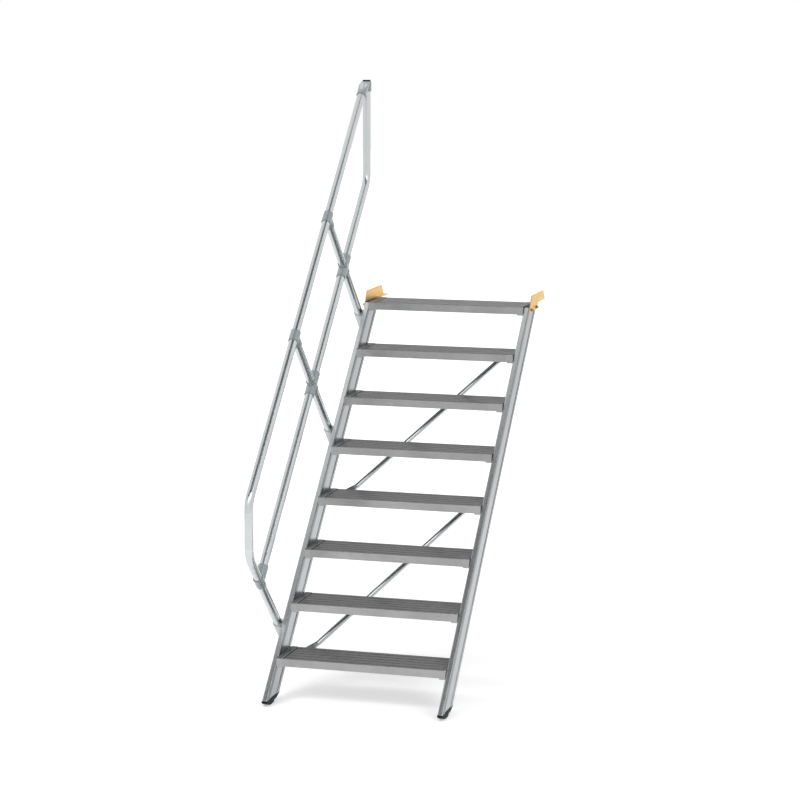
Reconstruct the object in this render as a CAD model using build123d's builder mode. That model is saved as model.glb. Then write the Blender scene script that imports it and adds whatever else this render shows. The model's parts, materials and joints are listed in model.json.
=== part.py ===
from build123d import *
import math
import os

os.makedirs("parts", exist_ok=True)

# Aluminium industrial stair, 45 degrees, eight treads, one handrail on the left.
# Millimetres. X runs to the right, Y the way one climbs, Z up.
# Z = 0 is the floor that the stair climbs to. The origin is the middle of the flat
# underside of the left top bracket's flange, which lies on that floor.

# stair
TREADS = 8
RISE = 210.0
CLEAR_WIDTH = 800.0
GROUND = -1665.0
ROOT2 = math.sqrt(2.0)

# stiles: a box bead at the front and at the rear, joined by a set-back web
STILE_T = 25.0
STILE_D = 125.0
STILE_SETBACK = 22.0
STILE_WALL = 2.6
BEAD = 25.0
WEB_STEP = 2.0
GROOVE_W = 3.0
GROOVE_D = 3.0
STILE_CORNER_R = 4.0
PLUG_T = 4.0
FOOT_H = 27.0

# treads: a grooved deck on webs, open below between two lips
TREAD_DEPTH = 222.0
TREAD_H = 37.0
TREAD_WALL = 3.0
DECK_T = 4.2
NOSE_R = 4.0
LIP = 24.0
WEBS = 3
WEB_H = 22.0
GROOVES = 5
GROOVE_PITCH = 42.0
FIRST_GROOVE = 23.0
TREAD_GROOVE_W = 7.0
TREAD_GROOVE_D = 1.8

# end caps of the treads
CAP_WIDTH = 30.0
CAP_T = 5.0
CAP_SKIN = 1.4
CAP_DROP = 5.0
CAP_NOSE_R = 5.0
BREAK = 1.0

# handrail, in the plane of the tubes' axes: u up the slope, w out from the nosing line
TUBE_R = 20.0
RAIL_OFF = 30.0
HAND_W = 683.0
KNEE_W = 313.0
POST_END_W = -134.0
LOW_POST_U = -1863.0
MIDDLE_POST_U = -753.0
UPPER_POST_U = -30.0
FRONT_POST_Y = -1674.0
END_POST_Y = 160.0
BEND_R = 110.0
RAIL_TOP = 1100.0
RAIL_PLUG_H = 16.0
RAIL_PLUG_RIM = 7.0

# clamps: the sleeve holds the tube that runs through, the sockets those that end in it
SLEEVE_R = 24.5
SEAT = TUBE_R + 3.0
TUBE_GAP = 1.0
TEE_BACK = 26.0
TEE_ON = 31.0
TEE_SOCKET = 56.0
CROSS_BACK = 65.0
CROSS_ON = 68.0
CROSS_SOCKET = 32.0
LOW_BACK = 34.0
LOW_ON = 26.0
LOW_SOCKET = 80.0

# connector at the handrail's upper end: its top slopes away from the plug
CONNECTOR_H = 50.0
BRANCH = 134.0
HAND_END_BACK = 62.0
SHOULDER = 1.8

# top brackets: bent from one plate
PLATE_T = 5.0
BEND_OUT = 8.0
FLANGE = 30.0
FLANGE_FRONT = 206.0
FLANGE_BACK = 358.0
ARM_TOP = 52.0
ARM_FOOT = -28.0
ARM_TOE = 10.0
ARM_KNEE = 34.0
ARM_FRONT = 68.0
ARM_BACK = 324.0
ARM_HEEL = 178.0
HOLE_R = 4.5
HOLE_SPACING = 90.0

# rear braces: a round tube pressed flat at both ends
BRACE_R = 12.5
TAB_W = 35.0
TAB_T = 5.0
LOW_TAB = 26.0
HIGH_TAB = 46.0

# places that follow from these
NOSING_Y = -(FLANGE_FRONT + FLANGE_BACK) / 2
MID_X = CLEAR_WIDTH / 2 + STILE_T + PLATE_T - (FLANGE + BEND_OUT) / 2
LEFT_IN = MID_X - CLEAR_WIDTH / 2
LEFT_OUT = LEFT_IN - STILE_T
LEFT_MID = LEFT_IN - STILE_T / 2
RIGHT_MID = MID_X + CLEAR_WIDTH / 2 + STILE_T / 2
RAIL_X = LEFT_OUT - RAIL_OFF
FOOT_TOP = GROUND + FOOT_H
UP_SLOPE = Vector(0, 1, 1).normalized()


def spot(u, w):
    """Depth and height of a point u up the slope and w out from the nosing line."""
    return (NOSING_Y + (u - w) / ROOT2, (u + w) / ROOT2)


def at(x, u, w):
    y, z = spot(u, w)
    return Vector(x, y, z)


def rod(start, end, radius, mode=Mode.ADD):
    """Round bar between two points, added to or cut from the part being built."""
    line = end - start
    with BuildSketch(Plane(origin=start, z_dir=line)) as disc:
        Circle(radius)
    extrude(disc.sketch, amount=line.length, mode=mode)


def save(solid, name):
    solid.label = name
    export_step(solid, "parts/" + name + ".step")


# Stiles: one extruded section, cut level at both ends.
def stile(mid_x):
    front = -STILE_SETBACK
    rear = front - STILE_D
    middle = (front + rear) / 2
    web_depth = STILE_D - 2 * BEAD
    room = STILE_T - 2 * STILE_WALL
    section_plane = Plane(origin=at(mid_x, 0, 0), x_dir=(-1, 0, 0), z_dir=UP_SLOPE)
    with BuildPart() as body:
        with BuildSketch(section_plane):
            with Locations((0, middle)):
                RectangleRounded(STILE_T, STILE_D, STILE_CORNER_R)
            for side in (-1, 1):
                with Locations((side * STILE_T / 2, middle)):
                    Rectangle(2 * WEB_STEP, web_depth, mode=Mode.SUBTRACT)
                for end in (-1, 1):
                    groove = middle + end * (web_depth - GROOVE_W) / 2
                    with Locations((side * STILE_T / 2, groove)):
                        Rectangle(2 * GROOVE_D, GROOVE_W, mode=Mode.SUBTRACT)
            with Locations((0, middle)):
                Rectangle(room - 2 * WEB_STEP, web_depth - 2 * STILE_WALL, mode=Mode.SUBTRACT)
            with Locations((0, front - BEAD / 2), (0, rear + BEAD / 2)):
                Rectangle(room, BEAD - 2 * STILE_WALL, mode=Mode.SUBTRACT)
        extrude(amount=RISE * 2)
        lower_end = body.faces().sort_by(Axis((0, 0, 0), tuple(UP_SLOPE)))[0]
        extrude(lower_end, amount=-GROUND * 1.6)
        split(bisect_by=Plane(origin=(0, 0, -PLUG_T), z_dir=(0, 0, 1)), keep=Keep.BOTTOM)
        split(bisect_by=Plane(origin=(0, 0, FOOT_TOP), z_dir=(0, 0, 1)), keep=Keep.TOP)
    return body.part


save(stile(LEFT_MID), "left_stile")
save(stile(RIGHT_MID), "right_stile")


def stile_front(z):
    """Depth of the stile's front face at a height."""
    return NOSING_Y + z + STILE_SETBACK * ROOT2


# Black plugs in the level-cut heads of the stiles.
def top_plug(mid_x):
    front = stile_front(-PLUG_T)
    rear = front + STILE_D * ROOT2
    with BuildPart() as body:
        with BuildSketch(Plane.YZ.offset(mid_x - STILE_T / 2)):
            with BuildLine():
                Polyline((front, -PLUG_T), (front + PLUG_T, 0), (rear, 0), (rear, -PLUG_T), close=True)
            make_face()
        extrude(amount=STILE_T)
    return body.part


# Black feet: rounded in front, a short flat sole, stepped up behind it.
def foot(mid_x):
    front = stile_front(FOOT_TOP)
    rear = front + STILE_D * ROOT2
    sole_front = front + 57
    sole_rear = front + 92
    step_z = GROUND + 11
    over = 1.0
    with BuildPart() as body:
        with BuildSketch(Plane.YZ.offset(mid_x - STILE_T / 2 - over)):
            with BuildLine():
                Line((front, FOOT_TOP), (front - 3, FOOT_TOP - 5))
                TangentArc((sole_front, GROUND), (front - 3, FOOT_TOP - 5), tangent=(-1, 0))
                Polyline(
                    (sole_front, GROUND),
                    (sole_rear, GROUND),
                    (sole_rear + 13, step_z),
                    (sole_rear + 41, step_z),
                    (rear, FOOT_TOP),
                    (front, FOOT_TOP),
                )
            make_face()
        extrude(amount=STILE_T + 2 * over)
    return body.part


save(foot(LEFT_MID), "left_foot")
save(foot(RIGHT_MID), "right_foot")


def tread_corner(number):
    """Depth and height of a tread's front top edge."""
    steps = TREADS - number
    return (NOSING_Y - steps * RISE, -steps * RISE)


def nosed_bar(front, back, top, bottom, nose_r):
    """Side view of a bar with a rounded nose and its other three corners broken."""
    with BuildSketch() as bar:
        with BuildLine():
            CenterArc((front + nose_r, top - nose_r), nose_r, 90, 90)
            Polyline(
                (front, top - nose_r),
                (front, bottom + BREAK),
                (front + BREAK, bottom),
                (back - BREAK, bottom),
                (back, bottom + BREAK),
                (back, top - BREAK),
                (back - BREAK, top),
                (front + nose_r, top),
            )
        make_face()
    return bar.sketch


# Treads: one extruded section. Five grooves in the deck, three webs below it.
def tread(number):
    front, top = tread_corner(number)
    back = front + TREAD_DEPTH
    bottom = top - TREAD_H
    middle = (front + back) / 2
    room_h = TREAD_H - DECK_T - TREAD_WALL
    blank = nosed_bar(front, back, top, bottom, NOSE_R)
    with BuildPart() as body:
        with BuildSketch(Plane.YZ.offset(LEFT_IN + CAP_T)):
            add(blank)
            with Locations((middle, bottom + TREAD_WALL + room_h / 2)):
                Rectangle(TREAD_DEPTH - 2 * TREAD_WALL, room_h, mode=Mode.SUBTRACT)
            with Locations((middle, bottom)):
                Rectangle(TREAD_DEPTH - 2 * LIP, 2 * TREAD_WALL, mode=Mode.SUBTRACT)
            for k in range(1, WEBS + 1):
                with Locations((front + TREAD_DEPTH * k / (WEBS + 1), top - DECK_T - WEB_H / 2)):
                    Rectangle(TREAD_WALL, WEB_H)
            for k in range(GROOVES):
                with Locations((front + FIRST_GROOVE + k * GROOVE_PITCH, top)):
                    Rectangle(TREAD_GROOVE_W, 2 * TREAD_GROOVE_D, mode=Mode.SUBTRACT)
        extrude(amount=CLEAR_WIDTH - 2 * CAP_T)
    return body.part


for number in range(1, TREADS + 1):
    save(tread(number), "tread_%d" % number)


# End caps: each wraps the end of its tread, with a pocket that the tread sits in.
def cap(number, wall_x, inward):
    front, top = tread_corner(number)
    back = front + TREAD_DEPTH
    bottom = top - TREAD_H
    pocket_break = 2.0
    blank = nosed_bar(front - CAP_SKIN, back + CAP_SKIN, top + CAP_SKIN, bottom - CAP_DROP, CAP_NOSE_R)
    with BuildPart() as body:
        with BuildSketch(Plane.YZ.offset(wall_x)):
            add(blank)
        extrude(amount=inward * CAP_WIDTH)
        with BuildSketch(Plane.YZ.offset(wall_x + inward * CAP_T)):
            with BuildLine():
                Polyline(
                    (front, top - pocket_break),
                    (front, bottom),
                    (back, bottom),
                    (back, top),
                    (front + pocket_break, top),
                    close=True,
                )
            make_face()
        extrude(amount=inward * (CAP_WIDTH - CAP_T), mode=Mode.SUBTRACT)
    return body.part


left_caps = [cap(number, LEFT_IN, 1) for number in range(1, TREADS + 1)]
right_caps = [cap(number, LEFT_IN + CLEAR_WIDTH, -1) for number in range(1, TREADS + 1)]
save(Compound(children=left_caps), "left_tread_caps")
save(Compound(children=right_caps), "right_tread_caps")


# Handrail and knee rail: one bent tube each. Both ends are closed in clamps and sockets,
# so the tubes are solid here and their real wall counts in the stated weight.
def bent_tube(points):
    with BuildPart() as body:
        with BuildLine(Plane.YZ.offset(RAIL_X)) as path:
            FilletPolyline(*points, radius=BEND_R)
        with BuildSketch(Plane(origin=path.line @ 0, z_dir=path.line % 0)):
            Circle(TUBE_R)
        sweep(path=path.line)
    return body.part


end_y = NOSING_Y + END_POST_Y
front_y = NOSING_Y + FRONT_POST_Y
crossing_z = HAND_W * ROOT2 + END_POST_Y
crossing_u = (END_POST_Y + crossing_z) / ROOT2
handrail_points = [
    spot(crossing_u - HAND_END_BACK, HAND_W),
    (front_y, FRONT_POST_Y + HAND_W * ROOT2),
    (front_y, LOW_POST_U * ROOT2 - FRONT_POST_Y),
    spot(LOW_POST_U, POST_END_W),
]
knee_rail_points = [
    spot(LOW_POST_U + SEAT + TUBE_GAP, KNEE_W),
    (end_y, END_POST_Y + KNEE_W * ROOT2),
    (end_y, RAIL_TOP + RAIL_PLUG_RIM - RAIL_PLUG_H - TUBE_GAP),
]
save(bent_tube(handrail_points), "handrail")
save(bent_tube(knee_rail_points), "knee_rail")


# Middle and upper post: square to the slope, in two lengths that meet in the knee clamp.
def post(u):
    seat = SEAT + TUBE_GAP
    lengths = []
    for low_w, high_w in ((POST_END_W, KNEE_W - seat), (KNEE_W + seat, HAND_W - seat)):
        with BuildPart() as body:
            rod(at(RAIL_X, u, low_w), at(RAIL_X, u, high_w), TUBE_R)
        lengths.append(body.part)
    return Compound(children=lengths)


save(post(MIDDLE_POST_U), "middle_post")
save(post(UPPER_POST_U), "upper_post")


# Clamps: a sleeve on the tube that runs through, and a socket for each that ends there.
def clamp(centre, along, sleeve_back, sleeve_on, sockets):
    """sockets is a list of (direction, length) from the sleeve's centre."""
    with BuildPart() as body:
        rod(centre - along * sleeve_back, centre + along * sleeve_on, SLEEVE_R)
        for direction, length in sockets:
            rod(centre, centre + direction * length, SLEEVE_R)
        rod(centre - along * sleeve_back, centre + along * sleeve_on, TUBE_R, Mode.SUBTRACT)
        for direction, length in sockets:
            rod(centre + direction * SEAT, centre + direction * length, TUBE_R, Mode.SUBTRACT)
    return body.part


OUT = Vector(0, -1, 1).normalized()


def tee_clamp(u):
    return clamp(at(RAIL_X, u, HAND_W), UP_SLOPE, TEE_BACK, TEE_ON, [(-OUT, TEE_SOCKET)])


def cross_clamp(u):
    sockets = [(OUT, CROSS_SOCKET), (-OUT, CROSS_SOCKET)]
    return clamp(at(RAIL_X, u, KNEE_W), UP_SLOPE, CROSS_BACK, CROSS_ON, sockets)


low_clamp = clamp(at(RAIL_X, LOW_POST_U, KNEE_W), OUT, LOW_BACK, LOW_ON, [(UP_SLOPE, LOW_SOCKET)])
save(
    Compound(children=[low_clamp, cross_clamp(MIDDLE_POST_U), cross_clamp(UPPER_POST_U)]),
    "knee_rail_clamps",
)


# Connector that takes the handrail's upper end and the top of the end post.
crossing = Vector(RAIL_X, end_y, crossing_z)
post_top = Vector(RAIL_X, end_y, RAIL_TOP)
with BuildPart() as top_connector:
    rod(post_top - Vector(0, 0, CONNECTOR_H), post_top, SLEEVE_R)
    rod(crossing, crossing - UP_SLOPE * BRANCH, SLEEVE_R)
    with Locations(post_top - Vector(0, 0, BRANCH / 2)):
        Cone(SLEEVE_R + SHOULDER * BRANCH, SLEEVE_R, BRANCH, mode=Mode.INTERSECT)
    rod(post_top - Vector(0, 0, CONNECTOR_H), post_top, TUBE_R, Mode.SUBTRACT)
    rod(
        crossing - UP_SLOPE * (HAND_END_BACK - TUBE_GAP),
        crossing - UP_SLOPE * BRANCH,
        TUBE_R,
        Mode.SUBTRACT,
    )
handrail_fittings = [tee_clamp(MIDDLE_POST_U), tee_clamp(UPPER_POST_U), top_connector.part]
save(Compound(children=handrail_fittings), "handrail_fittings")

plug_top = post_top + Vector(0, 0, RAIL_PLUG_RIM)
with BuildPart() as rail_plug:
    rod(plug_top - Vector(0, 0, RAIL_PLUG_H), plug_top, TUBE_R)
save(Compound(children=[top_plug(LEFT_MID), top_plug(RIGHT_MID), rail_plug.part]), "end_plugs")


# Rail brackets: a base in the stile's web recess, a block out to the tube, a socket.
def rail_bracket(u):
    base_top = -52.0
    base_low = -117.0
    base_t = 6.0
    rim_w = -45.0
    end_w = -165.0
    middle_w = (base_top + base_low) / 2
    base_h = base_top - base_low
    face = Plane(origin=at(LEFT_OUT + WEB_STEP, u, middle_w), x_dir=UP_SLOPE, z_dir=(-1, 0, 0))
    with BuildPart() as body:
        with BuildSketch(face) as base:
            Rectangle(76, base_h)
            chamfer(base.vertices(), 7)
        extrude(amount=base_t + WEB_STEP)
        with BuildSketch(face):
            Rectangle(44, base_h - 8)
        extrude(amount=RAIL_OFF + WEB_STEP)
        rod(at(RAIL_X, u, rim_w), at(RAIL_X, u, end_w), SLEEVE_R)
        rod(at(RAIL_X, u, rim_w), at(RAIL_X, u, POST_END_W), TUBE_R, Mode.SUBTRACT)
    return body.part


rail_brackets = [rail_bracket(u) for u in (LOW_POST_U, MIDDLE_POST_U, UPPER_POST_U)]
save(Compound(children=rail_brackets), "rail_brackets")


# Top brackets: an arm on the stile's outer face and a flange bent inward at its foot.
def top_bracket(side):
    out_x = MID_X + side * (CLEAR_WIDTH / 2 + STILE_T + PLATE_T)
    in_x = out_x - side * PLATE_T
    tip_x = out_x - side * FLANGE
    bend_in = BEND_OUT - PLATE_T
    arc_x = out_x - side * BEND_OUT
    diagonal = math.sqrt(0.5)
    with BuildPart() as body:
        with BuildSketch(Plane.YZ.offset(min(out_x, in_x))):
            with BuildLine():
                Polyline(
                    (NOSING_Y + ARM_TOE, ARM_FOOT),
                    (NOSING_Y + ARM_KNEE, -PLUG_T),
                    (NOSING_Y + ARM_FRONT, ARM_TOP),
                    (NOSING_Y + ARM_BACK, ARM_TOP),
                    (NOSING_Y + FLANGE_BACK - BREAK, BEND_OUT),
                    (NOSING_Y + FLANGE_FRONT, BEND_OUT),
                    (NOSING_Y + FLANGE_FRONT, 0),
                    (NOSING_Y + ARM_HEEL, ARM_FOOT),
                    close=True,
                )
            make_face()
        extrude(amount=PLATE_T)
        with BuildSketch(Plane(origin=(0, NOSING_Y + FLANGE_FRONT, 0), x_dir=(1, 0, 0), z_dir=(0, -1, 0))):
            with BuildLine():
                ThreePointArc(
                    (out_x, BEND_OUT),
                    (arc_x + side * BEND_OUT * diagonal, BEND_OUT * (1 - diagonal)),
                    (arc_x, 0),
                )
                Polyline((arc_x, 0), (tip_x, 0), (tip_x, PLATE_T), (arc_x, PLATE_T))
                ThreePointArc(
                    (arc_x, PLATE_T),
                    (arc_x + side * bend_in * diagonal, BEND_OUT - bend_in * diagonal),
                    (in_x, BEND_OUT),
                )
                Line((in_x, BEND_OUT), (out_x, BEND_OUT))
            make_face()
        extrude(amount=-(FLANGE_BACK - FLANGE_FRONT))
        with BuildSketch(Plane.XY):
            for end in (-1, 1):
                with Locations((MID_X + side * MID_X, end * HOLE_SPACING / 2)):
                    Circle(HOLE_R)
        extrude(amount=PLATE_T, mode=Mode.SUBTRACT)
    return body.part


save(top_bracket(-1), "left_top_bracket")
save(top_bracket(1), "right_top_bracket")


# Rear diagonal braces. Each flat end lies on a tread's rear face.
def brace(low_tread, high_tread):
    low_y, low_z = tread_corner(low_tread)
    high_y, high_z = tread_corner(high_tread)
    tab_y = TREAD_DEPTH + TAB_T / 2
    low_round = Vector(MID_X - 293, low_y + 283, low_z + 5)
    low_flat = Vector(MID_X - 322, low_y + tab_y, low_z - 14)
    high_round = Vector(MID_X + 263, high_y + 202, high_z - 76)
    high_flat = Vector(MID_X + 284, high_y + tab_y, high_z - 50)
    along = (high_round - low_round).normalized()
    tab_along = Vector(1, 0, 1).normalized()
    across = Vector(1, 0, -1).normalized()
    with BuildPart() as body:
        rod(low_round, high_round, BRACE_R)
        for round_end, flat_end, way, tab_length in (
            (low_round, low_flat, -1, LOW_TAB),
            (high_round, high_flat, 1, HIGH_TAB),
        ):
            with BuildSketch(Plane(origin=round_end, x_dir=across, z_dir=along * way)):
                RegularPolygon(BRACE_R, 8, rotation=22.5)
            with BuildSketch(Plane(origin=flat_end, x_dir=across, z_dir=tab_along * way)) as tab:
                Rectangle(TAB_W, TAB_T)
                chamfer(tab.vertices(), BREAK)
            loft(ruled=True)
            extrude(tab.sketch, amount=tab_length)
    return body.part


save(brace(1, 4), "lower_brace")
save(brace(4, 7), "upper_brace")
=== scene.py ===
import json
import math
import bmesh
import bpy
from mathutils import Matrix, Vector


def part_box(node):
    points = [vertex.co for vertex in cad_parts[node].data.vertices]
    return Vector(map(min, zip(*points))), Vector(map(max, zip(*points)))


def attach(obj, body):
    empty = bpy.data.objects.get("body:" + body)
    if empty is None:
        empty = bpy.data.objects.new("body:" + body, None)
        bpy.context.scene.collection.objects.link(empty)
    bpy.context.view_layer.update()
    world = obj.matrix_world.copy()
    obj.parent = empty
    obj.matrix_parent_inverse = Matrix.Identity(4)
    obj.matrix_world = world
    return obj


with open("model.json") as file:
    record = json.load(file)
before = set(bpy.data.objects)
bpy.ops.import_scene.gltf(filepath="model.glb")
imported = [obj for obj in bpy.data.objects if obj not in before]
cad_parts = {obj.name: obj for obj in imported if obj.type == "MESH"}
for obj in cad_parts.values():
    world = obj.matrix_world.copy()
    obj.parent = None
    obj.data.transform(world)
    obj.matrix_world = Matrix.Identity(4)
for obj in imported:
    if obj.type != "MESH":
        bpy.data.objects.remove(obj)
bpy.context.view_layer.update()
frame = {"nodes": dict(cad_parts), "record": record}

# Places are in metres, in the frame's axes: X right, Y the way one climbs, Z up.
# Z = 0 is the floor reached. The ground is the lowest point of the feet.
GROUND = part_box("left_foot")[0][2]
SLOPE = math.radians(45)
ALONG_SLOPE = (SLOPE, 0, 0)
EVEN = (1, 1, 1)
nosing_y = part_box("tread_8")[0][1]

# The stile's section, measured square to the slope from the line through the treads' noses.
STILE_DROP = 0.0845
HALF_WEB = 0.0375
HALF_DEPTH = 0.0625
stile_centre = -nosing_y * math.sin(SLOPE) - STILE_DROP

# The end caps' border on the walking faces: a painted highlight on the cap's rim, a painted shadow line
# beside it.
# Each pair gives the left caps' width first. In the photograph theirs show wider.
HIGHLIGHT_RIM_WIDTHS = (0.0045, 0.002)
SHADOW_LINE_WIDTHS = (0.006, 0.003)
left_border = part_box("left_tread_caps")[1][0]
right_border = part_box("right_tread_caps")[0][0]
painted_highlight_rims = ((left_border - HIGHLIGHT_RIM_WIDTHS[0], left_border), (right_border, right_border + HIGHLIGHT_RIM_WIDTHS[1]))
painted_shadow_lines = ((left_border, left_border + SHADOW_LINE_WIDTHS[0]), (right_border - SHADOW_LINE_WIDTHS[1], right_border))

# The pressed ends of the braces, bolted to the treads' rear faces: the tread, and how far from its middle.
BRACE_ENDS = (("tread_1", -0.332), ("tread_4", 0.310), ("tread_4", -0.332), ("tread_7", 0.310))
BRACE_BOLT_DROP = 0.024
PRESSED_THICK = 0.005
# How far from a brace bolt the painted shade on the pressed end reaches.
END_SHADE_REACH = 0.06
middle_x = (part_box("left_tread_caps")[0][0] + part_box("right_tread_caps")[1][0]) / 2
brace_bolt_places = []
for tread, side in BRACE_ENDS:
    low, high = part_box(tread)
    brace_bolt_places.append((middle_x + side, high[1] + PRESSED_THICK, high[2] - BRACE_BOLT_DROP))


# Node helpers
def new_material(name):
    """A material, its node tree and its main shader."""
    material = bpy.data.materials.new(name)
    material.use_nodes = True
    tree = material.node_tree
    return material, tree, tree.nodes["Principled BSDF"]


def add_node(tree, kind, **settings):
    node = tree.nodes.new(kind)
    for name, value in settings.items():
        setattr(node, name, value)
    return node


def feed(tree, socket, value):
    """Gives an input a socket to follow, or a number, a vector or a colour."""
    if isinstance(value, bpy.types.NodeSocket):
        tree.links.new(value, socket)
    elif socket.type == "RGBA":
        socket.default_value = (*value, 1)
    else:
        socket.default_value = value


def calculate(tree, operation, *values):
    node = add_node(tree, "ShaderNodeMath", operation=operation)
    for socket, value in zip(node.inputs, values):
        feed(tree, socket, value)
    return node.outputs["Value"]


def compare_vectors(tree, operation, first, second):
    node = add_node(tree, "ShaderNodeVectorMath", operation=operation)
    feed(tree, node.inputs[0], first)
    feed(tree, node.inputs[1], second)
    return node.outputs["Value"]


def spread(tree, value, low, high, start=0.3, end=0.7):
    """A number that goes from low to high as value goes from start to end."""
    node = add_node(tree, "ShaderNodeMapRange")
    node.inputs["From Min"].default_value = start
    node.inputs["From Max"].default_value = end
    node.inputs["To Min"].default_value = low
    node.inputs["To Max"].default_value = high
    tree.links.new(value, node.inputs["Value"])
    return node.outputs["Result"]


def blend_colours(tree, factor, first, second, how="MIX"):
    """first and second are colours or sockets."""
    mix = add_node(tree, "ShaderNodeMix", data_type="RGBA", blend_type=how)
    feed(tree, mix.inputs["Factor"], factor)
    feed(tree, mix.inputs["A"], first)
    feed(tree, mix.inputs["B"], second)
    return mix.outputs["Result"]


def frame_place(tree):
    """Where a point of the surface is, in the frame."""
    return add_node(tree, "ShaderNodeTexCoord").outputs["Object"]


def part_of(tree, vector, axis):
    """X, Y or Z of a vector."""
    parts = add_node(tree, "ShaderNodeSeparateXYZ")
    tree.links.new(vector, parts.inputs["Vector"])
    return parts.outputs[axis]


def face_normal(tree):
    return add_node(tree, "ShaderNodeNewGeometry").outputs["True Normal"]


def grey(value):
    return (value, value, value)


def scaled(colour, factor):
    return [min(1.0, channel * factor) for channel in colour]


# Surface patterns
def noise(tree, scale, stretch=EVEN, turn=(0, 0, 0), detail=4.0, rough=0.6):
    """Noise drawn out by stretch along the axes that turn gives. scale is its features a metre."""
    mapping = add_node(tree, "ShaderNodeMapping", vector_type="TEXTURE")
    mapping.inputs["Rotation"].default_value = turn
    mapping.inputs["Scale"].default_value = stretch
    pattern = add_node(tree, "ShaderNodeTexNoise")
    pattern.inputs["Scale"].default_value = scale
    pattern.inputs["Detail"].default_value = detail
    pattern.inputs["Roughness"].default_value = rough
    tree.links.new(frame_place(tree), mapping.inputs["Vector"])
    tree.links.new(mapping.outputs["Vector"], pattern.inputs["Vector"])
    return pattern.outputs["Fac"]


def bump(tree, shader, height, strength, distance):
    node = add_node(tree, "ShaderNodeBump")
    node.inputs["Strength"].default_value = strength
    node.inputs["Distance"].default_value = distance
    tree.links.new(height, node.inputs["Height"])
    tree.links.new(node.outputs["Normal"], shader.inputs["Normal"])


def near_edge(tree, radius):
    """1 near an edge, 0 on an open face."""
    bevel = add_node(tree, "ShaderNodeBevel", samples=4)
    bevel.inputs["Radius"].default_value = radius
    agreement = compare_vectors(tree, "DOT_PRODUCT", bevel.outputs["Normal"], face_normal(tree))
    return spread(tree, agreement, 1.0, 0.0, 0.85, 0.995)


def facing_up(tree):
    """1 on faces that look up, 0 on the rest."""
    return spread(tree, part_of(tree, face_normal(tree), "Z"), 0.0, 1.0, 0.6, 0.95)


def facing_sideways(tree):
    """1 on faces that look left or right, 0 on the rest."""
    sideways = calculate(tree, "ABSOLUTE", part_of(tree, face_normal(tree), "X"))
    return spread(tree, sideways, 0.0, 1.0, 0.3, 0.7)


def between(tree, start, end):
    """1 where X lies between start and end, 0 elsewhere, with a soft border."""
    half = (end - start) / 2
    soft = 0.0004
    offset = calculate(tree, "SUBTRACT", part_of(tree, frame_place(tree), "X"), (start + end) / 2)
    return spread(tree, calculate(tree, "ABSOLUTE", offset), 1.0, 0.0, half - soft, half + soft)


# Metals: how far in from an edge its tone reaches, and die lines and clouds a metre. The lines are
# darker by LINE_SHADE, and at most LINE_SHARE of that shows.
EDGE_REACH = 0.0012
DIE_LINES = 420.0
CLOUDS = 5.0
LINE_SHADE = 0.72
LINE_SHARE = 0.14


def extruded_aluminium(name, tones, stretch, turn, roughness, edge):
    """Anodised extrusion: fine die lines along it, cloudy tone, and edges painted paler with the light tone
    times edge, a painted highlight.
    """
    dark, light = tones
    material, tree, shader = new_material(name)
    lines = noise(tree, DIE_LINES, stretch, turn, detail=3.0)
    clouds = noise(tree, CLOUDS, detail=5.0)
    tone = blend_colours(tree, spread(tree, clouds, 0.0, 1.0), dark, light)
    lined = blend_colours(tree, spread(tree, lines, 0.0, LINE_SHARE), tone, scaled(dark, LINE_SHADE))
    # Painted highlight: the edges are paler.
    edged = blend_colours(tree, near_edge(tree, EDGE_REACH), lined, scaled(light, edge))
    tree.links.new(edged, shader.inputs["Base Color"])
    tree.links.new(spread(tree, lines, *roughness), shader.inputs["Roughness"])
    shader.inputs["Metallic"].default_value = 1.0
    bump(tree, shader, lines, 0.04, 0.0004)
    return material


def parts_of(material):
    """A material's node tree, its main shader and the socket that colours it."""
    tree = material.node_tree
    shader = tree.nodes["Principled BSDF"]
    return tree, shader, shader.inputs["Base Color"].links[0].from_socket


# The walking faces: scuffs a metre, how much paler the scuffs are, how metallic and how shiny the face is.
SCUFFS = 30.0
SCUFF_TONE = 1.2
DECK_METAL = 0.3
DECK_SHINE = 0.04


def tread_aluminium(name, tones, shaded_deck, glance, painted_light_borders, painted_light_tone):
    """As the extrusion, with a walking face painted darker, a painted shade and painted reflection. glance is
    how much it shines at a low angle.
    """
    material = extruded_aluminium(name, tones, (60, 1, 1), (0, 0, 0), (0.22, 0.32), 1.25)
    tree, shader, side = parts_of(material)
    scuffs = noise(tree, SCUFFS, (1.3, 1, 1), detail=8.0, rough=0.7)
    deck_with_painted_light = blend_colours(tree, spread(tree, scuffs, 0.0, 1.0, 0.35, 0.75), shaded_deck, scaled(shaded_deck, SCUFF_TONE))
    # Painted lines at the caps: a painted highlight on the rims, a painted shadow beside them.
    for start, end in painted_light_borders:
        deck_with_painted_light = blend_colours(tree, between(tree, start, end), deck_with_painted_light, painted_light_tone)
    # Painted shade and painted reflection: faces that look up take the darker walking-face colour.
    up = facing_up(tree)
    tree.links.new(blend_colours(tree, up, side, deck_with_painted_light), shader.inputs["Base Color"])
    tree.links.new(blend_colours(tree, up, grey(1.0), grey(glance)), shader.inputs["Specular Tint"])
    tree.links.new(spread(tree, up, 1.0, DECK_METAL, 0.0, 1.0), shader.inputs["Metallic"])
    shader.inputs["Specular IOR Level"].default_value = DECK_SHINE
    return material


# The painted shade in the stile's seams starts behind its front corner: how far back there is none, and where
# it is full.
SHADE_SEAM_START = 0.004
SHADE_SEAM_FULL = 0.008
# Half the width over which one part of the section's tone passes into the next.
STEP = 0.001


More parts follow.
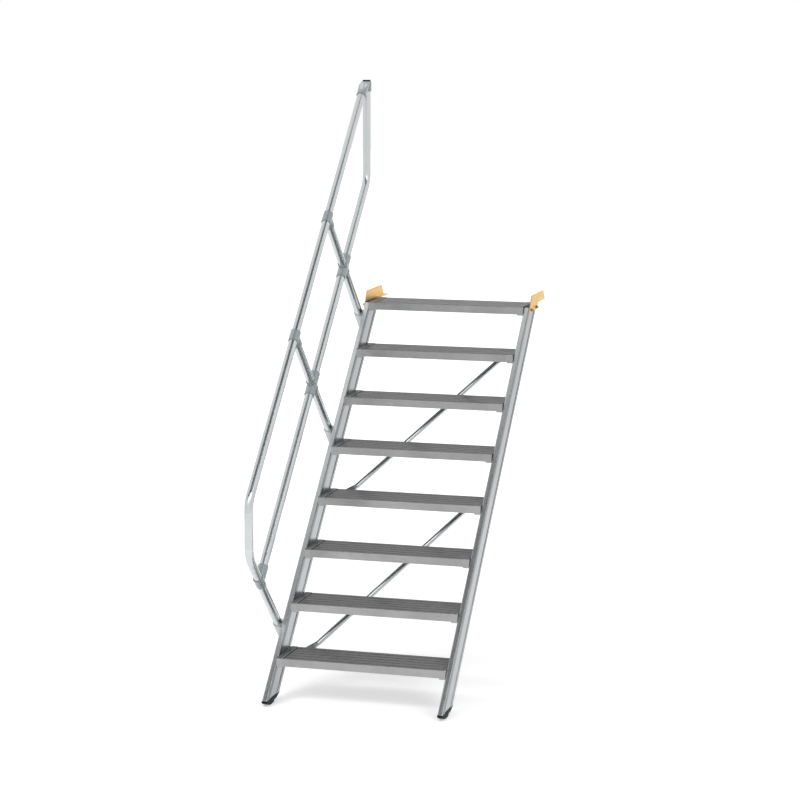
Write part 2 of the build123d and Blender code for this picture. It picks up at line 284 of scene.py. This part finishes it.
def stile_aluminium(name, tones, web, front_bead, rear_bead, seam_shade_tone):
    """As the extrusion. Its sides have painted shade: a paler web between two darker beads, with a dark seam
    of painted shade beside each.

    web, front_bead and rear_bead multiply the tone on the sides, as painted shade. front_bead gives its value
    at the front corner, then at the web.
    """
    material = extruded_aluminium(name, tones, (1, 60, 1), ALONG_SLOPE, (0.24, 0.32), 1.3)
    tree, shader, whole = parts_of(material)
    square_to_slope = (0, -math.sin(SLOPE), math.cos(SLOPE))
    across = compare_vectors(tree, "DOT_PRODUCT", frame_place(tree), square_to_slope)
    centre = calculate(tree, "SUBTRACT", across, stile_centre)
    distance = calculate(tree, "ABSOLUTE", centre)

    # Painted shade on the sides: the web and the beads each take their own darkening.
    beside_web = spread(tree, distance, 0.0, 1.0, HALF_WEB - STEP, HALF_WEB + STEP)
    is_front = spread(tree, centre, 0.0, 1.0, -STEP, STEP)
    bead = add_node(tree, "ShaderNodeMix", data_type="FLOAT")
    feed(tree, bead.inputs["Factor"], is_front)
    feed(tree, bead.inputs["A"], rear_bead)
    feed(tree, bead.inputs["B"], spread(tree, centre, front_bead[1], front_bead[0], HALF_WEB, HALF_DEPTH))
    bead_colour = add_node(tree, "ShaderNodeCombineColor")
    for channel in ("Red", "Green", "Blue"):
        tree.links.new(bead.outputs["Result"], bead_colour.inputs[channel])
    sides = blend_colours(tree, beside_web, web, bead_colour.outputs["Color"])
    tone = blend_colours(tree, facing_sideways(tree), grey(1.0), sides)

    # Painted shade in the seams behind the front corner.
    behind_corner = spread(tree, centre, 1.0, 0.0, HALF_DEPTH - SHADE_SEAM_FULL, HALF_DEPTH - SHADE_SEAM_START)
    seam = calculate(tree, "MULTIPLY", behind_corner, near_edge(tree, EDGE_REACH))
    seam_shaded = blend_colours(tree, seam, whole, scaled(tones[1], seam_shade_tone))
    tree.links.new(blend_colours(tree, 1.0, seam_shaded, tone, "MULTIPLY"), shader.inputs["Base Color"])
    return material


def brace_aluminium(name, tones, end_shade_tone):
    """As the extrusion. Its pressed ends are painted darker, a painted shade, by end_shade_tone at the bolts.
    """
    material = extruded_aluminium(name, tones, EVEN, (0, 0, 0), (0.2, 0.3), 1.0)
    tree, shader, whole = parts_of(material)
    place = frame_place(tree)
    reaches = [compare_vectors(tree, "DISTANCE", place, bolt) for bolt in brace_bolt_places]
    nearest = reaches[0]
    for reach in reaches[1:]:
        nearest = calculate(tree, "MINIMUM", nearest, reach)
    # Painted shade: the pressed ends are darker near the bolts.
    pressed = spread(tree, nearest, 1.0, 0.0, END_SHADE_REACH * 0.7, END_SHADE_REACH)
    tone = blend_colours(tree, pressed, whole, scaled(tones[0], end_shade_tone))
    tree.links.new(tone, shader.inputs["Base Color"])
    return material


def cast_metal(name, colour, roughness):
    """Cast metal with a gritty skin and paler edges."""
    material, tree, shader = new_material(name)
    grit = noise(tree, 380.0, detail=5.0, rough=0.7)
    broad = noise(tree, 20.0, detail=3.0)
    tone = blend_colours(tree, spread(tree, broad, 0.0, 1.0), scaled(colour, 0.88), colour)
    edged = blend_colours(tree, near_edge(tree, 0.0015), tone, scaled(colour, 1.2))
    tree.links.new(edged, shader.inputs["Base Color"])
    tree.links.new(spread(tree, grit, roughness - 0.08, roughness + 0.08), shader.inputs["Roughness"])
    shader.inputs["Metallic"].default_value = 0.7
    bump(tree, shader, grit, 0.25, 0.0005)
    return material


def chromated_steel(name, pale, deep, edge):
    """Yellow chromate: golden, with paler and greener clouds and edges of their own tone."""
    material, tree, shader = new_material(name)
    clouds = noise(tree, 22.0, detail=6.0)
    tints = noise(tree, 60.0, detail=4.0)
    base = blend_colours(tree, spread(tree, clouds, 0.0, 1.0), deep, pale)
    green = (deep[0] * 0.9, deep[1] * 1.17, deep[2] * 1.1)
    tinted = blend_colours(tree, spread(tree, tints, 0.0, 0.35), base, green)
    edged = blend_colours(tree, near_edge(tree, EDGE_REACH), tinted, edge)
    tree.links.new(edged, shader.inputs["Base Color"])
    tree.links.new(spread(tree, tints, 0.34, 0.46), shader.inputs["Roughness"])
    shader.inputs["Metallic"].default_value = 0.75
    bump(tree, shader, tints, 0.06, 0.0004)
    return material


# Plastic and rubber
def moulded(name, colour, roughness, grain, shine, coat=0.0):
    """Moulded plastic or rubber with a fine grain and a slight change of tone."""
    material, tree, shader = new_material(name)
    fine = noise(tree, 900.0, detail=2.0)
    broad = noise(tree, 14.0, detail=3.0)
    tone = blend_colours(tree, spread(tree, broad, 0.0, 1.0), scaled(colour, 0.9), colour)
    edge = [min(1.0, channel * 1.2 + 0.01) for channel in colour]
    tree.links.new(blend_colours(tree, near_edge(tree, 0.0015), tone, edge), shader.inputs["Base Color"])
    tree.links.new(spread(tree, fine, roughness - 0.06, roughness + 0.06), shader.inputs["Roughness"])
    shader.inputs["Specular IOR Level"].default_value = shine
    shader.inputs["Coat Weight"].default_value = coat
    shader.inputs["Coat Roughness"].default_value = 0.18
    bump(tree, shader, fine, grain, 0.0003)
    return material


# One material for each slot of the record
materials = {
    "tread_aluminium": tread_aluminium(
        "treads_anodised",
        tones=(grey(0.30), grey(0.38)),
        # Painted shade and painted reflection: the walking faces are darker.
        shaded_deck=grey(0.215),
        glance=0.1,
        painted_light_borders=painted_shadow_lines,
        # A painted shadow line beside the caps.
        painted_light_tone=grey(0.03),
    ),
    "cap_aluminium": tread_aluminium(
        "caps_anodised",
        tones=(grey(0.32), grey(0.38)),
        # Painted shade and painted reflection: the caps' tops are darker.
        shaded_deck=(0.168, 0.170, 0.171),
        glance=0.05,
        painted_light_borders=painted_highlight_rims,
        # A painted highlight on the caps' rims.
        painted_light_tone=grey(0.42),
    ),
    "stile_aluminium": stile_aluminium(
        "stiles_anodised",
        tones=((0.59, 0.62, 0.63), (0.65, 0.68, 0.69)),
        # The web and bead tones are painted shade on the sides; the seam tone is painted shade in the seams.
        web=(0.71, 0.71, 0.72),
        front_bead=(0.32, 0.38),
        rear_bead=0.55,
        seam_shade_tone=0.5,
    ),
    "tube_aluminium": extruded_aluminium(
        "rails_polished",
        tones=((0.58, 0.61, 0.62), (0.65, 0.67, 0.68)),
        stretch=(1, 60, 1),
        turn=ALONG_SLOPE,
        roughness=(0.24, 0.3),
        edge=1.0,
    ),
    "brace_aluminium": brace_aluminium(
        # A painted shade on the pressed ends.
        "braces_drawn", tones=((0.50, 0.52, 0.53), (0.58, 0.60, 0.61)), end_shade_tone=0.35
    ),
    "cast_aluminium": cast_metal("brackets_cast", (0.62, 0.64, 0.64), roughness=0.42),
    "clamp_plastic": moulded(
        "clamps_grey", (0.265, 0.315, 0.328), roughness=0.26, grain=0.10, shine=1.0, coat=1.0
    ),
    "black_plastic": moulded("black_rubber", (0.007, 0.007, 0.008), roughness=0.5, grain=0.15, shine=0.1),
    "yellow_steel": chromated_steel(
        "hooks_chromated", pale=(1.0, 0.67, 0.29), deep=(0.90, 0.53, 0.18), edge=(0.62, 0.38, 0.06)
    ),
}
nut_material = chromated_steel(
    "nuts_chromated", pale=(0.34, 0.27, 0.12), deep=(0.20, 0.16, 0.06), edge=(0.40, 0.33, 0.14)
)
slot_of = {part["node"]: part["material_slot"] for part in frame["record"]["subparts"]}
for node, piece in frame["nodes"].items():
    piece.data.materials.clear()
    piece.data.materials.append(materials[slot_of[node]])


# Bolts: their sizes are multiples of the shank's diameter.
WASHER_RADIUS = 1.05
WASHER_THICK = 0.18
ACROSS_FLATS = 1.62
HEAD_TOP = 0.85
NUT_TOP = 0.98
THREAD_START = 0.9
THREAD_PITCH = 0.156


def join_rings(mesh, rings):
    """Faces between neighbouring rings, and a cap on the first and the last."""
    sides = len(rings[0])
    for lower, upper in zip(rings, rings[1:]):
        for i in range(sides):
            k = (i + 1) % sides
            mesh.faces.new((lower[i], lower[k], upper[k], upper[i]))
    mesh.faces.new(reversed(rings[0]))
    mesh.faces.new(rings[-1])


def turned(mesh, frame_of, profile, sides):
    """Closed solid from (radius, height) pairs, with so many sides."""
    rings = []
    for radius, height in profile:
        ring = []
        for i in range(sides):
            angle = 2 * math.pi * i / sides
            place = Vector((radius * math.cos(angle), radius * math.sin(angle), height))
            ring.append(mesh.verts.new(frame_of @ place))
        rings.append(ring)
    join_rings(mesh, rings)


def washer(mesh, frame_of, size):
    outer = size * WASHER_RADIUS
    thick = size * WASHER_THICK
    turned(mesh, frame_of, [(outer, 0.0), (outer, thick * 0.8), (outer * 0.96, thick)], 32)


def hexagon(mesh, frame_of, size, top):
    """Hexagon on the washer, whose top rim is turned down, as on a forged head or nut."""
    flats = size * ACROSS_FLATS
    corner = flats / math.sqrt(3)
    low = size * WASHER_THICK
    high = size * top
    rim = (high - low) * 0.18
    turned(mesh, frame_of, [(corner, low), (corner, high - rim), (flats * 0.48, high)], 6)


def threaded_end(mesh, frame_of, size, end):
    """The shank's threaded end, with a chamfered tip at end."""
    radius = size * 0.5
    pitch = size * THREAD_PITCH
    root = radius - pitch * 0.55
    height = size * THREAD_START
    profile = [(root, height)]
    while height + pitch < end - pitch:
        profile.append((radius, height + pitch * 0.5))
        profile.append((root, height + pitch))
        height += pitch
    profile.append((radius * 0.7, end))
    turned(mesh, frame_of, profile, 24)


def placed(origin, axis):
    """Matrix that takes +Z to axis, at origin."""
    turn = Vector((0, 0, 1)).rotation_difference(Vector(axis)).to_matrix().to_4x4()
    return Matrix.Translation(origin) @ turn


def bolt_head(mesh, origin, axis, size):
    """Washer and head. origin is on the face that the washer lies on."""
    frame_of = placed(origin, axis)
    washer(mesh, frame_of, size)
    hexagon(mesh, frame_of, size, HEAD_TOP)


def nut_end(mesh, origin, axis, size, stand_out):
    """Washer, nut and the threaded end that stands out past it."""
    frame_of = placed(origin, axis)
    washer(mesh, frame_of, size)
    hexagon(mesh, frame_of, size, NUT_TOP)
    threaded_end(mesh, frame_of, size, stand_out)


def object_from(name, mesh, material):
    data = bpy.data.meshes.new(name)
    mesh.to_mesh(data)
    mesh.free()
    data.materials.append(material)
    made = bpy.data.objects.new(name, data)
    bpy.context.scene.collection.objects.link(made)
    return made


def piece_from(name, mesh, material):
    bmesh.ops.recalc_face_normals(mesh, faces=mesh.faces)
    piece = object_from(name, mesh, material)
    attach(piece, "root")


# Two bolts through each top bracket and its stile: how far behind the nose, and their height.
M8 = 0.008
BRACKET_BOLTS = ((0.048, -0.017), (0.160, -0.015))
NUT_STAND_OUT = 0.014
left_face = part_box("left_top_bracket")[0][0]
right_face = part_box("right_top_bracket")[1][0]
mesh = bmesh.new()
for back, height in BRACKET_BOLTS:
    nut_end(mesh, (left_face, nosing_y + back, height), (-1, 0, 0), M8, NUT_STAND_OUT)
    nut_end(mesh, (right_face, nosing_y + back, height), (1, 0, 0), M8, NUT_STAND_OUT)
piece_from("top_bracket_nuts", mesh, nut_material)

# One bolt through each pressed brace end, into the tread's rear face.
mesh = bmesh.new()
for place in brace_bolt_places:
    bolt_head(mesh, place, (0, 1, 0), M8)
piece_from("brace_bolts", mesh, materials["cast_aluminium"])


# Stage: a pale floor, soft lamps, and two cards overhead that only reflections see.
def flat_panel(name, size_x, size_y, place, turn, material):
    mesh = bmesh.new()
    corners = ((-1, -1), (1, -1), (1, 1), (-1, 1))
    mesh.faces.new([mesh.verts.new((x * size_x / 2, y * size_y / 2, 0)) for x, y in corners])
    panel = object_from(name, mesh, material)
    panel.location = place
    panel.rotation_euler = turn
    return panel


# The floor glows for the camera, less under the stair, so that its shadow stays and the rest is white.
FLOOR_SIZE = 80.0
FLOOR_TONE = 0.86
FLOOR_GLOW = (0.42, 0.85)
GLOW_REACH = (1.5, 6.0)
GLOW_CENTRE = (0.4, -1.0, 0.0)
REFLECTED_GLOW = 0.48


def floor_material():
    material, tree, shader = new_material("studio_floor")
    feed(tree, shader.inputs["Base Color"], grey(FLOOR_TONE))
    shader.inputs["Roughness"].default_value = 0.9
    shader.inputs["Specular IOR Level"].default_value = 0.1
    rays = add_node(tree, "ShaderNodeLightPath")
    reflected = spread(tree, rays.outputs["Is Glossy Ray"], 0.0, REFLECTED_GLOW, 0.0, 1.0)
    reach = compare_vectors(tree, "DISTANCE", frame_place(tree), GLOW_CENTRE)
    direct = spread(tree, reach, *FLOOR_GLOW, *GLOW_REACH)
    strength = calculate(tree, "MULTIPLY_ADD", rays.outputs["Is Camera Ray"], direct, reflected)
    glow = add_node(tree, "ShaderNodeEmission")
    tree.links.new(strength, glow.inputs["Strength"])
    both = add_node(tree, "ShaderNodeAddShader")
    tree.links.new(shader.outputs["BSDF"], both.inputs[0])
    tree.links.new(glow.outputs["Emission"], both.inputs[1])
    tree.links.new(both.outputs["Shader"], tree.nodes["Material Output"].inputs["Surface"])
    return material


def card_material(name, strength):
    material, tree, shader = new_material(name)
    feed(tree, shader.inputs["Base Color"], grey(0.02))
    shader.inputs["Roughness"].default_value = 0.9
    feed(tree, shader.inputs["Emission Color"], grey(1.0))
    shader.inputs["Emission Strength"].default_value = strength
    return material


flat_panel("floor", FLOOR_SIZE, FLOOR_SIZE, (0, 0, GROUND), (0, 0, 0), floor_material())

# The cards lie side by side. CARD_EDGE is the middle of the dark one's outer edge. Each row of CARDS
# has the card's name, where it starts and ends across the pair, and how strongly it glows.
CARD_EDGE = (-2.105, -2.725)
CARD_TURN = math.radians(-53)
CARD_HEIGHT = 4.2
CARD_LENGTH = 9.0
CARDS = (("dark_card", 0.0, 3.1, 0.02), ("bright_card", 3.1, 6.1, 2.8))
for name, start, end, strength in CARDS:
    middle = (start + end) / 2
    place = (
        CARD_EDGE[0] + middle * math.cos(CARD_TURN),
        CARD_EDGE[1] + middle * math.sin(CARD_TURN),
        CARD_HEIGHT,
    )
    card = flat_panel(name, end - start, CARD_LENGTH, place, (0, 0, CARD_TURN), card_material(name, strength))
    for ray in ("camera", "diffuse", "shadow", "transmission"):
        setattr(card, "visible_" + ray, False)

# The world is white for the camera and for reflections, and lights the stair less.
WORLD_LIGHT = 0.55
world = bpy.data.worlds.new("studio")
bpy.context.scene.world = world
world.use_nodes = True
tree = world.node_tree
sky = tree.nodes["Background"]
feed(tree, sky.inputs["Color"], grey(1.0))
rays = add_node(tree, "ShaderNodeLightPath")
seen = calculate(tree, "MAXIMUM", rays.outputs["Is Camera Ray"], rays.outputs["Is Glossy Ray"])
tree.links.new(spread(tree, seen, WORLD_LIGHT, 1.0, 0.0, 1.0), sky.inputs["Strength"])

# Each lamp has its name, its place, its size and its power in watts. Reflections don't see them.
LAMP_TARGET = (0.4, -1.0, -0.4)
LAMPS = (
    ("key", (-2.6, -4.2, 3.4), (2.4, 2.4), 105),
    ("fill", (4.2, -3.4, 1.8), (2.0, 2.6), 55),
    ("back", (0.4, 3.2, 2.2), (2.6, 1.6), 38),
)
for name, place, size, power in LAMPS:
    light = bpy.data.lights.new(name, "AREA")
    light.shape = "RECTANGLE"
    light.size, light.size_y = size
    light.energy = power
    lamp = bpy.data.objects.new(name, light)
    lamp.location = place
    lamp.rotation_euler = (Vector(LAMP_TARGET) - Vector(place)).to_track_quat("-Z", "Y").to_euler()
    lamp.visible_glossy = False
    bpy.context.scene.collection.objects.link(lamp)

# Camera as fitted to the tread and stile edges in the photograph, angles in degrees.
CAMERA_PLACE = (3.5958, -12.1798, 1.4847)
CAMERA_TILT = 80.925
CAMERA_TURN = 16.032
FOCAL_MM = 111.57
SENSOR_MM = 36.0
lens = bpy.data.cameras.new("photo_camera")
lens.lens = FOCAL_MM
lens.sensor_width = SENSOR_MM
camera = bpy.data.objects.new("photo_camera", lens)
camera.location = CAMERA_PLACE
camera.rotation_euler = (math.radians(CAMERA_TILT), 0, math.radians(CAMERA_TURN))
bpy.context.scene.collection.objects.link(camera)
bpy.context.scene.camera = camera
bpy.context.scene.view_settings.view_transform = "Standard"
